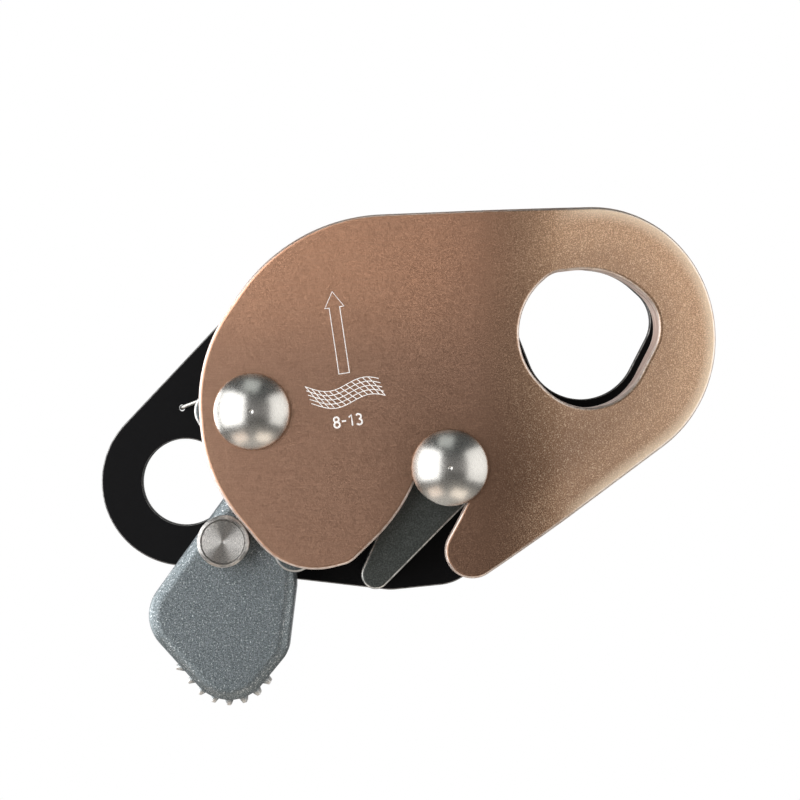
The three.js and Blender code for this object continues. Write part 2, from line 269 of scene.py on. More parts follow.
def rounded(corners, radius, steps=4):
    """A profile with its corners rounded, as far as the stretches between them allow."""
    points = [Vector(corner) for corner in corners]
    result = [points[0]]
    for before, here, after in zip(points, points[1:], points[2:]):
        back = before - here
        ahead = after - here
        reach = min(radius, back.length * 0.45, ahead.length * 0.45)
        start = here + back.normalized() * reach
        end = here + ahead.normalized() * reach
        for k in range(steps + 1):
            t = k / steps
            result.append(start * (1 - t) ** 2 + here * (2 * t * (1 - t)) + end * t ** 2)
    return result + [points[-1]]


def joined_mesh(meshes):
    """One bmesh that holds several."""
    whole = bmesh.new()
    for bm in meshes:
        part = bpy.data.meshes.new("part")
        bm.to_mesh(part)
        bm.free()
        whole.from_mesh(part)
        bpy.data.meshes.remove(part)
    return whole


def apply_modifiers(piece):
    shaped = bpy.data.meshes.new_from_object(piece.evaluated_get(bpy.context.evaluated_depsgraph_get()))
    piece.modifiers.clear()
    piece.data = shaped


def combine(piece, operation, *meshes):
    """Add meshes to a piece (UNION) or take them away from it (DIFFERENCE)."""
    tools = [to_object("tool", bm) for bm in meshes]
    for tool in tools:
        modifier = piece.modifiers.new("combine", "BOOLEAN")
        modifier.operation = operation
        modifier.solver = "EXACT"
        modifier.object = tool
    apply_modifiers(piece)
    for tool in tools:
        bpy.data.objects.remove(tool)


def bore(at, r, low, high, facets=96):
    """The mesh of a plain hole along Y, to be taken away from a piece."""
    return turned_mesh(at, [(0, low), (r, low), (r, high), (0, high)], facets)


# ---------------------------------------------------------------------------- plates


def bend(point):
    """Roll the front plate back round its bend, and keep it straight after it."""
    middle = (FRONT_OUTER + FRONT_INNER) / 2
    start = AXLE[0] + BEND_X * MM
    past = point.x - start
    if past <= 0:
        return point
    angle = min(past / (BEND_R * MM), BEND_ANGLE)
    radius = BEND_R * MM - (point.y - middle)
    straight = max(0, past - BEND_R * MM * BEND_ANGLE)
    return Vector((
        start + radius * sin(angle) + straight * cos(angle),
        middle + BEND_R * MM - radius * cos(angle) + straight * sin(angle),
        point.z,
    ))


def front_plate():
    holes = [belt(FRONT_EYE), circle(AXLE_AT, PIVOT_BUSH_R + 0.1)]
    bm = slab_mesh(belt(FRONT_OUTLINE), holes, FRONT_OUTER / MM, FRONT_INNER / MM, PLATE_EDGE, 5)
    divisions = 12
    for k in range(divisions + 1):
        x = AXLE[0] + (BEND_X + BEND_R * BEND_ANGLE * k / divisions) * MM
        everything = list(bm.verts) + list(bm.edges) + list(bm.faces)
        bmesh.ops.bisect_plane(bm, geom=everything, dist=1e-8, plane_co=(x, 0, 0), plane_no=(1, 0, 0))
    for vertex in bm.verts:
        vertex.co = bend(vertex.co)
    return to_object("front_plate_shaped", bm)


def back_plate():
    low, high = BACK_INNER / MM, BACK_OUTER / MM
    holes = [belt(BACK_EYE), circle(TETHER_AT, TETHER_R)]
    plate = to_object("back_plate_shaped", slab_mesh(belt(BACK_OUTLINE), holes, low, high, BACK_EDGE, 3))
    combine(
        plate, "DIFFERENCE",
        bore(AXLE_AT, SHANK_HOLE_R, low - 1, high + 1),
        bore(ANVIL_AT, SHANK_HOLE_R, low - 1, high + 1),
        bore(SPRING_HOLE_AT, SPRING_HOLE_R, low - 1, high + 1, 32),
    )
    plate.data.shade_smooth()
    plate.data.set_sharp_from_angle(angle=radians(32))
    return plate


def anvil_finger():
    bm = slab_mesh(
        belt(ANVIL_OUTLINE), [circle(ANVIL_AT, SHANK_HOLE_R)],
        FRONT_INNER / MM + 0.3, BACK_INNER / MM, 0.5,
    )
    return to_object("anvil_finger_shaped", bm)


# ---------------------------------------------------------------------------- rivets, pin and rings


def dome(seat):
    """The domed side of a rivet, from the dimple at its top out to the rim at y = seat."""
    rim = seat - DOME_RIM
    sphere = (DOME_R ** 2 + DOME_HEIGHT ** 2) / (2 * DOME_HEIGHT)
    widest = asin((DOME_R - 0.12) / sphere)
    narrowest = asin(DIMPLE_R / sphere)
    steps = 40
    crown = []
    for k in range(steps + 1):
        angle = narrowest + (widest - narrowest) * k / steps
        crown.append((sphere * sin(angle), rim - DOME_HEIGHT + sphere * (1 - cos(angle))))
    top = crown[0][1]
    dimple = [(0, top + 0.2), (0.14, top + 0.17), (0.3, top + 0.05)]
    edge = rounded([crown[-1], (DOME_R, rim + 0.08), (DOME_R, seat - 0.1), (DOME_R - 0.1, seat)], 0.12)
    return dimple + crown + edge


def rear_head():
    seat = BACK_OUTER / MM + WASHER + 0.05
    head = [
        (SHANK_R, seat),
        (REAR_HEAD_R, seat),
        (REAR_HEAD_R, seat + REAR_HEAD * 0.4),
        (REAR_HEAD_R - 1.2, seat + REAR_HEAD),
        (1.3, seat + REAR_HEAD),
        (1.0, seat + REAR_HEAD - 0.35),
        (0, seat + REAR_HEAD - 0.5),
    ]
    return rounded(head, 0.35)


def rivet(name, at, neck):
    """A domed rivet with its shank, spread at the back, and a shoulder where it has a neck."""
    seat = FRONT_OUTER / MM - 0.3
    shoulder = FRONT_INNER / MM + 0.25
    middle = [(neck, seat), (neck, shoulder), (SHANK_R, shoulder)] if neck > SHANK_R else [(neck, seat)]
    return to_object(name, turned_mesh(at, dome(seat) + middle + rear_head()))


def turned_face(face, radius):
    """The slightly hollow, ridged front of a turned pin, from its centre mark outwards."""
    ridges = 18
    profile = [(0, face + 0.3), (0.2, face + 0.16), (0.34, face + 0.02)]
    for k in range(ridges):
        r = 0.5 + (radius - 0.6) * k / ridges
        step = (radius - 0.6) / ridges
        profile += [(r, face), (r + step * 0.5, face + 0.018)]
    return profile + [(radius - 0.08, face)]


def stop_pin():
    """The turned pin: ridged face, groove, bright chamfered rim and a tail spread at the back."""
    low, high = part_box("stop_pin")
    face = low.y / MM + 0.1
    seat = -LEVER_HALF - 0.05
    end = LEVER_HALF + 0.05
    tail_r = PIN_HOLE_R - 0.1
    ridged = PIN_R - PIN_RIM
    groove = [(ridged + 0.04, face + 0.3), (ridged + 0.12, face + 0.3)]
    rim = rounded([
        (ridged + 0.16, face - 0.1), (ridged + 0.26, face - 0.1), (PIN_R, face + 0.3), (PIN_R, seat),
    ], 0.06)
    tail = rounded([
        (PIN_R, seat), (tail_r, seat), (tail_r, end), (tail_r + 1, end), (tail_r + 1, end + 0.4),
        (tail_r + 0.3, high.y / MM), (0, high.y / MM),
    ], 0.12)
    profile = turned_face(face, ridged) + groove + rim + tail[1:]
    return to_object("stop_pin_shaped", turned_mesh(PIN_AT, profile))


def ring_like(node):
    """A washer, bush or sleeve with the CAD ring's own sizes and small round edges."""
    low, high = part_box(node)
    vertices = [vertex.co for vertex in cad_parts[node].data.vertices]
    middle = ((low.x + high.x) / 2, (low.z + high.z) / 2)
    distances = [hypot(co.x - middle[0], co.z - middle[1]) / MM for co in vertices]
    inner, outer = min(distances), max(distances)
    front, back = low.y / MM, high.y / MM
    at = ((middle[0] - AXLE[0]) / MM, (middle[1] - AXLE[1]) / MM)
    half = (front + back) / 2
    corners = [(inner, half), (inner, front), (outer, front), (outer, back), (inner, back), (inner, half)]
    return to_object(node + "_shaped", turned_mesh(at, rounded(corners, 0.12, 3)))


# ---------------------------------------------------------------------------- cam


def spike_mesh(x, z, out, y):
    """A small blunt spike that stands on an edge and points along out, an (x, z) direction."""
    sink = 0.4
    flank = rounded([(SPIKE_R, -sink), (SPIKE_TIP_R, SPIKE_HEIGHT), (0, SPIKE_HEIGHT)], 0.3)
    bm = turned_mesh(AXLE_AT, [(0, -sink), *flank], 16)
    turn = Vector((0, 1, 0)).rotation_difference(Vector((out.x, 0, out.y)))
    for vertex in bm.verts:
        vertex.co = turn @ (vertex.co - place(0, 0, 0)) + place(x, y, z)
    return bm


def nose_spikes():
    """Spikes round the lever's nose. Past the ends of its arc, the edge runs straight on."""
    first = tangent_angle(HEEL, NOSE) % (2 * pi)
    last = tangent_angle(NOSE, TOE) % (2 * pi)
    found = []
    for k in range(SPIKE_COUNT):
        angle = radians(SPIKE_FIRST + SPIKE_STEP * k)
        reach = NOSE[2] / cos(max(0, first - angle, angle - last))
        out = Vector((cos(angle), sin(angle)))
        at = Vector(NOSE[:2]) + out * reach
        found += [spike_mesh(at.x, at.y, out, y) for y in SPIKE_ROWS]
    return found


def jaw_teeth():
    """Rows of teeth along the jaw's flat flank, the side that grips the rope."""
    toe, hub = JAW_OUTLINE[2], JAW_OUTLINE[0]
    angle = tangent_angle(toe, hub)
    out = Vector((cos(angle), sin(angle)))
    start = Vector(toe[:2]) + out * toe[2]
    end = Vector(hub[:2]) + out * hub[2]
    along = (end - start).normalized()
    found = []
    for n in range(TOOTH_COUNT):
        at = start + along * (TOOTH_FIRST + TOOTH_STEP * n)
        found += [spike_mesh(at.x, at.y, out, y) for y in TOOTH_ROWS]
    return found


BARE = "bare"                  # point attribute: 1 on the spikes, whose coating is worn off


def beyond(x, z, circles):
    """How far a point lies outside the belt round circles that form no hollow."""
    distances = []
    for k in range(72):
        angle = radians(5 * k)
        edge = max(cx * cos(angle) + cz * sin(angle) + r for cx, cz, r in circles)
        distances.append(x * cos(angle) + z * sin(angle) - edge)
    return max(distances)


def mark_bare_spikes(cam):
    """Note on the cam's points which of them belong to the spikes round the nose."""
    bare = cam.data.attributes.new(BARE, "FLOAT", "POINT")
    for i, vertex in enumerate(cam.data.vertices):
        x = (vertex.co.x - AXLE[0]) / MM
        z = (vertex.co.z - AXLE[1]) / MM
        outside = beyond(x, z, [HEEL, NOSE, TOE]) if z < HEEL[1] else 0
        bare.data[i].value = min(1, max(0, outside / 0.15))


def toothed_cam():
    """Jaw and thumb lever as one casting, thicker at the jaw and hollowed behind the hub."""
    lever = slab_mesh(belt(LEVER_OUTLINE), [], -LEVER_HALF, LEVER_HALF, LEVER_EDGE, 8)
    jaw = slab_mesh(belt(JAW_OUTLINE), [], -JAW_HALF, JAW_HALF, JAW_EDGE)
    room = belt([(*AXLE_AT, HUB_ROOM_R), (-8, 0, HUB_ROOM_R)])
    cam = to_object("toothed_cam_shaped", lever)
    combine(cam, "UNION", jaw, joined_mesh(nose_spikes()), joined_mesh(jaw_teeth()))
    combine(
        cam, "DIFFERENCE",
        bore(AXLE_AT, HUB_BORE_R, *THROUGH),
        bore(PIN_AT, PIN_HOLE_R, *THROUGH),
        slab_mesh(room, [], HUB_BACK, THROUGH[1], 0.01, 1),
        bore(SPRING_SEAT_AT, SPRING_HOLE_R, 0.4, THROUGH[1], 32),
    )
    cam.data.shade_smooth()
    cam.data.set_sharp_from_angle(angle=radians(40))
    mark_bare_spikes(cam)
    return cam


# ---------------------------------------------------------------------------- spring


def spring_path():
    """The wire's middle line in millimetres: hook, coil and leg, as points (x, y, z)."""
    back = BACK_INNER / MM - 0.55
    start = radians(111.5)
    end = radians(225 - 3 * 360)
    front = back - COIL_PITCH * (start - end) / (2 * pi)
    hook_x, hook_z = SPRING_HOLE_AT
    seat_x, seat_z = SPRING_SEAT_AT
    hook = [
        (hook_x, BACK_OUTER / MM - 0.6, hook_z),
        (hook_x, BACK_INNER / MM + 0.6, hook_z),
        (hook_x + 0.15, back + 0.25, hook_z + 0.08),
        (hook_x + 0.6, back, hook_z + 0.3),
        (hook_x + 6, back, hook_z + 2.4),
    ]
    coil = []
    facets = 180
    for k in range(facets + 1):
        angle = start + (end - start) * k / facets
        y = back + (front - back) * k / facets
        coil.append((COIL_R * cos(angle), y, COIL_R * sin(angle)))
    leg = [
        (seat_x + 1.1, front, seat_z - 1.1),
        (seat_x + 0.2, front - 0.15, seat_z - 0.2),
        (seat_x, front - 0.7, seat_z),
        (seat_x, 0.9, seat_z),
    ]
    return hook + coil + leg


def wire(name, paths, radius, closed=False):
    """Round wire along one or more paths of points in metres, as one curve object."""
    curve = bpy.data.curves.new(name, "CURVE")
    curve.dimensions = "3D"
    curve.bevel_depth = radius * MM
    curve.bevel_resolution = 3
    curve.use_fill_caps = True
    for path in paths:
        spline = curve.splines.new("POLY")
        spline.points.add(len(path) - 1)
        for point, co in zip(spline.points, path):
            point.co = (*co, 1)
        spline.use_cyclic_u = closed
    piece = bpy.data.objects.new(name, curve)
    bpy.context.scene.collection.objects.link(piece)
    return piece


def torsion_spring():
    return wire("torsion_spring_shaped", [[place(*point) for point in spring_path()]], WIRE_R)


# ---------------------------------------------------------------------------- marks

MARK_TILT = radians(8.5)       # the marks stand square to a line that rises to the right
MARK_WIRE = 0.11               # half the width of an engraved line
MARK_SINK = 0.04               # how far the lines' middle lies under the plate's face


def mark_point(at, u, v):
    """A point of a mark on the front plate's face, u to its right and v up, in millimetres."""
    x = at[0] + u * cos(MARK_TILT) - v * sin(MARK_TILT)
    z = at[1] + u * sin(MARK_TILT) + v * cos(MARK_TILT)
    return place(x, FRONT_OUTER / MM + MARK_SINK, z)


def arrow_mark():
    """An open arrow that points the way the clamp climbs."""
    at = (15.7, 6.5)
    length, head, shaft_half, head_half = 14.0, 2.7, 0.9, 1.65
    outline = [
        (-shaft_half, 0), (-shaft_half, length - head), (-head_half, length - head), (0, length),
        (head_half, length - head), (shaft_half, length - head), (shaft_half, 0),
    ]
    paths = [[mark_point(at, u, v) for u, v in outline]]
    return wire("arrow_mark", paths, MARK_WIRE, closed=True)


def weave_mark():
    """A length of woven rope drawn as a wavy net."""
    at = (15.9, 3.1)
    half_length, half_width = 6.3, 1.5

    def on_band(s, t):
        wave = 0.95 * sin(pi * (s - 0.125) / 1.05) - 0.38 * s + 0.05
        return mark_point(at, s * half_length - 0.35 * t, wave + t * half_width)

    lengthwise = [
        [on_band(-1 + 2 * k / 24, t) for k in range(25)] for t in (-1, -0.5, 0, 0.5, 1)
    ]
    across = []
    for n in range(12):
        s = -0.98 + 1.7 * n / 11
        across.append([on_band(s + 0.28 * k / 6, 1 - 2 * k / 6) for k in range(7)])
    return wire("weave_mark", lengthwise + across, MARK_WIRE * 0.75)


def arc(at, radius, start, end, steps=16):
    """Points (u, v) along an arc, its angles in degrees."""
    return [
        (at[0] + radius * cos(radians(start + (end - start) * k / steps)),
         at[1] + radius * sin(radians(start + (end - start) * k / steps)))
        for k in range(steps + 1)
    ]


def range_mark():
    """The rope sizes that fit, 8 to 13, in plain figures."""
    at = (17.0, -1.4)
    small, large = 0.42, 0.48
    eight = [arc((-2.6, 0.42), small, 0, 360), arc((-2.6, -0.48), large, 0, 360)]
    dash = [[(-1.7, 0), (-1.0, 0)]]
    one = [[(-0.45, 0.5), (0, 0.85), (0, -0.95)]]
    three = [arc((1.2, 0.42), small, 150, -90), arc((1.2, -0.48), large, 90, -150)]
    strokes = eight + dash + one + three
    paths = [[mark_point(at, u, v) for u, v in stroke] for stroke in strokes]
    return wire("range_mark", paths, MARK_WIRE * 1.5)


# ---------------------------------------------------------------------------- material nodes


def feed(tree, socket, value):
    """Link another socket to this one, or set its own value."""
    if isinstance(value, bpy.types.NodeSocket):
        tree.links.new(value, socket)
    else:
        socket.default_value = value


def node(tree, kind, settings=None, **inputs):
    """A shader node with its settings, and its inputs set or linked by name."""
    made = tree.nodes.new("ShaderNode" + kind)
    for key, value in (settings or {}).items():
        setattr(made, key, value)
    for name, value in inputs.items():
        feed(tree, made.inputs[name.replace("_", " ")], value)
    return made


def maths(tree, operation, *values):
    made = node(tree, "Math", {"operation": operation})
    for socket, value in zip(made.inputs, values):
        feed(tree, socket, value)
    return made.outputs[0]


def product(tree, first, second):
    return maths(tree, "MULTIPLY", first, second)


def total(tree, first, second):
    return maths(tree, "ADD", first, second)


def node_length(tree, first, second):
    """The length of a pair of values at right angles."""
    return maths(tree, "SQRT", total(tree, product(tree, first, first), product(tree, second, second)))


def ranged(tree, value, low, high, to_low=0.0, to_high=1.0):
    """A value mapped smoothly from one range to another, and held at its ends."""
    made = node(
        tree, "MapRange", {"interpolation_type": "SMOOTHSTEP"},
        Value=value, From_Min=low, From_Max=high, To_Min=to_low, To_Max=to_high,
    )
    return made.outputs[0]


def spread(tree, place, start, end, to_start=0.0, to_end=1.0):
    """A share that changes between two places along a coordinate, given in millimetres."""
    return ranged(tree, place, start * MM, end * MM, to_start, to_end)


def object_place(tree):
    return node(tree, "TexCoord").outputs["Object"]


def grain(tree, size, detail=2.0, roughness=0.5, vector=None, squeeze=None):
    """Noise with features of a size in millimetres, as a value from 0 to 1.

    Squeeze scales the coordinates, so that less than 1 draws the grain out along that axis.
    """
    coordinates = vector or object_place(tree)
    if squeeze:
        coordinates = node(tree, "Mapping", Vector=coordinates, Scale=squeeze).outputs[0]
    noise = node(
        tree, "TexNoise", Vector=coordinates, Scale=1 / (size * MM), Detail=detail, Roughness=roughness,
    )
    return noise.outputs["Fac"]


def blend_colors(tree, share, first, second):
    """From the first colour, at a share of 0, to the second."""
    made = node(tree, "Mix", {"data_type": "RGBA"})
    feed(tree, made.inputs[0], share)
    for socket, color in ((made.inputs[6], first), (made.inputs[7], second)):
        feed(tree, socket, (*color, 1) if isinstance(color, tuple) else color)
    return made.outputs[2]


def mottled(tree, noise, dark, light, low=0.3, high=0.7):
    """A colour that follows a noise from dark to light over the middle of its range."""
    return blend_colors(tree, ranged(tree, noise, low, high), dark, light)


def facing_depth(tree):
    """How far a surface faces along Y: 1 on a plate's faces, 0 on its walls."""
    normal = node(tree, "SeparateXYZ", Vector=node(tree, "TexCoord").outputs["Normal"])
    return maths(tree, "ABSOLUTE", normal.outputs["Y"])


def start_material(name):
    material = bpy.data.materials.new(name)
    material.use_nodes = True
    tree = material.node_tree
    return material, tree, tree.nodes["Principled BSDF"]


def set_look(tree, shader, color, roughness, metallic):
    """Feed a shader's main inputs, each with a plain value or a socket."""
    for name, value in (("Base Color", color), ("Roughness", roughness), ("Metallic", metallic)):
        feed(tree, shader.inputs[name], value)


def set_bump(tree, shader, height, depth):
    bump = node(tree, "Bump", Height=height, Distance=depth * MM)
    tree.links.new(bump.outputs["Normal"], shader.inputs["Normal"])


# ---------------------------------------------------------------------------- materials


def edge_wear_and_highlight(tree, facing, amount):
    """Rubbing along a plate's rounded edges, patchy, from 0 to an amount: partly real wear, partly a
    painted highlight on the rounding.
    """
    band = product(tree, ranged(tree, facing, 0.4, 0.6), ranged(tree, facing, 0.97, 0.8))
    patches = ranged(tree, grain(tree, 1.2, 3.0, 0.7), 0.3, 0.6, 0.4 * amount, amount)
    return product(tree, band, patches)


def bent_end_reach(tree, across, height):
    """How far out from its middle a point of the front plate's bent end lies, in metres.

    It is the same all along the rim, both round the end and down its straight lower edge.
    """
    x, z, _ = FRONT_OUTLINE[-1]
    middle = bend(place(x, FRONT_OUTER / MM, z))
    normal = tangent_angle(*FRONT_OUTLINE[-2:])
    dx = maths(tree, "DIVIDE", maths(tree, "SUBTRACT", across, middle.x), cos(BEND_ANGLE))
    dz = maths(tree, "SUBTRACT", height, middle.z)

    def towards(angle):
        return total(tree, product(tree, dx, cos(angle)), product(tree, dz, sin(angle)))

    before_straight = maths(tree, "MAXIMUM", towards(normal + pi / 2), 0)
    return node_length(tree, towards(normal), before_straight)


def dyed_face_and_painted_light(tree, across, height, bent, fine, streaks):
    """The colour of the front plate's face, by where across and up it is and how far it has bent.

    Painted light makes it paler towards the upper edge. Past the bend it is browner and more grainy,
    with painted glints. Painted shade darkens it at the foot and round the eye, and a painted
    highlight makes it pale along the bent end's rim.
    """
    face_tone = mottled(tree, fine, (0.465, 0.273, 0.186), (0.535, 0.316, 0.218))
    painted_top_light_tone = mottled(tree, fine, (0.75, 0.412, 0.262), (0.83, 0.458, 0.293))
    # Painted light: the face is paler towards the top and the left, where the light falls.
    painted_top_light = product(tree, spread(tree, height, 4, 27), spread(tree, across, 35, 12, 0.3, 1.0))
    face = blend_colors(tree, painted_top_light, face_tone, painted_top_light_tone)
    clouds = ranged(tree, grain(tree, 12.0, 2.0), 0.35, 0.7, 0.0, 0.14)
    face = blend_colors(tree, clouds, face, (0.46, 0.265, 0.18))
    brushing = ranged(tree, streaks, 0.35, 0.7, 0.0, 0.14)
    face = blend_colors(tree, brushing, face, (0.72, 0.47, 0.34))
    gold = mottled(tree, fine, (0.34, 0.215, 0.125), (0.84, 0.58, 0.37), 0.4, 0.62)
    face = blend_colors(tree, product(tree, bent, 0.62), face, gold)

    reach = bent_end_reach(tree, across, height)
    # Painted shade: darker at the foot of the plate and in a band round the eye of the bent end.
    eye_shade = product(tree, spread(tree, reach, 18.5, 12.5), bent)
    foot_shade = product(tree, spread(tree, across, 2, 18), spread(tree, height, 10, -12))
    painted_shade = total(
        tree, product(tree, foot_shade, ranged(tree, bent, 0, 1, 0.6, 0.46)), product(tree, eye_shade, 0.34),
    )
    face = blend_colors(tree, painted_shade, face, (0.22, 0.127, 0.082))
    # Painted glints: pale flecks on the grain, stronger past the bend.
    painted_glints = product(tree, ranged(tree, fine, 0.56, 0.66), ranged(tree, bent, 0, 1, 0.04, 0.5))
    face = blend_colors(tree, painted_glints, face, (0.98, 0.80, 0.60))
    # Painted highlight: a pale band along the bent end's rim.
    rim = product(tree, spread(tree, reach, 19.5, 22.4, 0.0, 0.75), spread(tree, across, 35, 45))
    return blend_colors(tree, rim, face, (0.98, 0.82, 0.63))


def bronze_anodised():
    """Satin dyed aluminium, brushed on the flat and grainy past the bend, with paler sawn walls and
    painted light, shade and highlights on its face.
    """
    material, tree, shader = start_material("bronze_anodised")
    split = node(tree, "SeparateXYZ", Vector=object_place(tree))
    across, height = split.outputs["X"], split.outputs["Z"]
    bend_start = AXLE[0] / MM + BEND_X
    bent = spread(tree, across, bend_start, bend_start + BEND_R * BEND_ANGLE)
    fine = grain(tree, 0.2, 3.0, 0.6)
    streaks = grain(tree, 0.16, 3.0, 0.6, squeeze=(0.05, 1, 1))
    face = dyed_face_and_painted_light(tree, across, height, bent, fine, streaks)
    sawn = grain(tree, 0.12, 3.0, 0.7, squeeze=(0.06, 1, 0.06))
    layers = grain(tree, 0.9, 2.0, 0.5, squeeze=(0.05, 1, 0.05))
    wall = mottled(tree, sawn, (0.68, 0.53, 0.46), (0.90, 0.77, 0.70))
    wall = blend_colors(tree, ranged(tree, layers, 0.47, 0.6, 0.0, 0.6), wall, (0.36, 0.21, 0.16))
    facing = facing_depth(tree)
    on_face = ranged(tree, facing, 0.4, 0.7)
    color = blend_colors(tree, on_face, wall, face)
    # Paler rounded edges: partly wear, partly a painted highlight.
    color = blend_colors(tree, edge_wear_and_highlight(tree, facing, 0.75), color, (0.94, 0.89, 0.85))
    rough = total(tree, ranged(tree, fine, 0.3, 0.7, 0.32, 0.48), ranged(tree, on_face, 0, 1, 0.15, 0))
    set_look(tree, shader, color, rough, ranged(tree, on_face, 0, 1, 0.45, 1.0))
    grains = product(tree, fine, ranged(tree, bent, 0, 1, 0.45, 1.0))
    relief = total(tree, grains, product(tree, total(tree, sawn, streaks), 0.3))
    set_bump(tree, shader, relief, 0.03)
    return material


def black_anodised():
    """Black dyed aluminium, its chamfers paler: partly cut bright, partly a painted highlight."""
    material, tree, shader = start_material("black_anodised")
    fine = grain(tree, 0.22, 2.0)
    body = blend_colors(tree, fine, (0.002, 0.002, 0.0025), (0.008, 0.008, 0.009))
    worn_and_highlit_edge = edge_wear_and_highlight(tree, facing_depth(tree), 0.7)
    color = blend_colors(tree, worn_and_highlit_edge, body, (0.50, 0.49, 0.48))
    set_look(tree, shader, color, ranged(tree, fine, 0.3, 0.7, 0.45, 0.55), ranged(tree, worn_and_highlit_edge, 0.1, 0.6))
    shader.inputs["Specular IOR Level"].default_value = 0.11
    set_bump(tree, shader, fine, 0.008)
    return material


def grey_coated():
    """Dark grey-green coating with a faint speckle, its edges paler: partly rubbed to bare metal, partly
    a painted highlight.
    """
    material, tree, shader = start_material("grey_coated")
    fine = grain(tree, 0.25, 3.0, 0.6)
    body = mottled(tree, fine, (0.045, 0.051, 0.048), (0.100, 0.110, 0.104))
    body = blend_colors(tree, ranged(tree, fine, 0.62, 0.72, 0.0, 0.25), body, (0.24, 0.25, 0.24))
    # Paler edges: partly bare metal, partly a painted highlight.
    color = blend_colors(tree, edge_wear_and_highlight(tree, facing_depth(tree), 0.95), body, (0.86, 0.86, 0.84))
    set_look(tree, shader, color, ranged(tree, fine, 0.3, 0.7, 0.36, 0.48), 0.6)
    set_bump(tree, shader, fine, 0.008)
    return material


def cast_steel():
    """Blasted grey casting with painted glints on its grains, bare bright spikes, painted shade on the
    jaw's front face and a painted highlight along the jaw's front edge.
    """
    material, tree, shader = start_material("cast_steel")
    fine = grain(tree, 0.18, 2.0, 0.6)
    speckle = grain(tree, 0.3, 3.0, 0.75)
    body = mottled(tree, fine, (0.115, 0.138, 0.150), (0.28, 0.32, 0.338), 0.35, 0.65)
    # Painted glints: bright flecks on the grains.
    color = blend_colors(tree, ranged(tree, speckle, 0.57, 0.65), body, (0.80, 0.85, 0.87))
    depth = node(tree, "SeparateXYZ", Vector=object_place(tree)).outputs["Y"]
    jaw_front = spread(tree, depth, -LEVER_HALF - 0.1, -LEVER_HALF - 0.5)
    # Painted highlight along the rounded edge of the jaw's front face.
    jaw_edge_highlight = product(tree, ranged(tree, facing_depth(tree), 0.97, 0.8), jaw_front)
    bare = node(tree, "Attribute", {"attribute_name": BARE}).outputs["Fac"]
    # Bare metal on the spikes, and the painted highlight on the jaw's edge.
    bare_and_highlit = maths(tree, "MAXIMUM", bare, product(tree, jaw_edge_highlight, 0.8))
    # Painted shade on the jaw's front face.
    color = blend_colors(tree, product(tree, jaw_front, 0.6), color, (0.05, 0.06, 0.06))
    color = blend_colors(tree, bare_and_highlit, color, (0.74, 0.73, 0.71))
    rough = ranged(tree, fine, 0.3, 0.7, 0.52, 0.36)
    set_look(tree, shader, color, rough, ranged(tree, bare_and_highlit, 0, 1, 0.85, 1.0))
    set_bump(tree, shader, fine, 0.06)
    return material


DOME_LOOK = {
    "roughness": 0.26, "anisotropy": 0.25, "scratches": 0.009,
    "dark": (0.54, 0.53, 0.51), "light": (0.66, 0.65, 0.62),
}
PIN_LOOK = {
    "roughness": 0.36, "anisotropy": 0.95, "scratches": 0.016,
    "dark": (0.36, 0.35, 0.34), "light": (0.76, 0.74, 0.71),
}


def turned_steel(name, at, roughness, anisotropy, dark, light, scratches):
    """Stainless steel turned about an axis along Y through at, with fine rings of tool marks."""
    material, tree, shader = start_material(name)
    split = node(tree, "SeparateXYZ", Vector=object_place(tree))
    dx = maths(tree, "SUBTRACT", split.outputs["X"], at[0])
    dz = maths(tree, "SUBTRACT", split.outputs["Z"], at[1])
    around = product(tree, maths(tree, "ARCTAN2", dz, dx), 0.6 * MM)
    polar = node(tree, "CombineXYZ", X=node_length(tree, dx, dz), Y=around)
    rings = grain(tree, 0.1, 3.0, 0.6, vector=polar.outputs[0])
    speckle = grain(tree, 0.15, 2.0)
    mixed = total(tree, product(tree, rings, 0.6), product(tree, speckle, 0.4))
    color = mottled(tree, rings, dark, light, 0.35, 0.65)
    set_look(tree, shader, color, ranged(tree, mixed, 0.3, 0.7, roughness * 0.85, roughness * 1.3), 1.0)
    shader.inputs["Anisotropic"].default_value = anisotropy
    shader.inputs["Anisotropic Rotation"].default_value = 0.25
    tangent = node(tree, "Tangent", {"direction_type": "RADIAL", "axis": "Y"})
    tree.links.new(tangent.outputs[0], shader.inputs["Tangent"])
    set_bump(tree, shader, mixed, scratches)
    return material


def drawn_steel():
    """Bright wire and plain steel rings, with fine marks from drawing and rolling."""
    material, tree, shader = start_material("drawn_steel")
    fine = grain(tree, 0.2, 3.0, 0.6)
    color = mottled(tree, fine, (0.46, 0.45, 0.43), (0.70, 0.68, 0.65))
    set_look(tree, shader, color, ranged(tree, fine, 0.3, 0.7, 0.2, 0.36), 1.0)
    set_bump(tree, shader, fine, 0.006)
    return material


def bearing_bronze():
    """Sintered bearing bronze, slightly pitted."""
    material, tree, shader = start_material("bearing_bronze")
    fine = grain(tree, 0.3, 3.0, 0.6)
    color = mottled(tree, fine, (0.30, 0.17, 0.06), (0.50, 0.31, 0.12))
    set_look(tree, shader, color, ranged(tree, fine, 0.3, 0.7, 0.55, 0.4), 1.0)
    set_bump(tree, shader, fine, 0.02)
    return material


def engraved_white():
    """Laser marking: the dye is burnt off to a frosty white, with a painted glow that makes it brighter
    than its light gives.
    """
    material, tree, shader = start_material("engraved_white")
    fine = grain(tree, 0.2, 2.0)
    color = mottled(tree, fine, (0.80, 0.77, 0.75), (1.0, 0.99, 0.98))
    set_look(tree, shader, color, ranged(tree, fine, 0.3, 0.7, 0.55, 0.75), 0.0)
    # Painted glow: the marking lights itself a little, though it is no lamp.
    feed(tree, shader.inputs["Emission Color"], color)
    shader.inputs["Emission Strength"].default_value = 0.26
    set_bump(tree, shader, fine, 0.01)
    return material


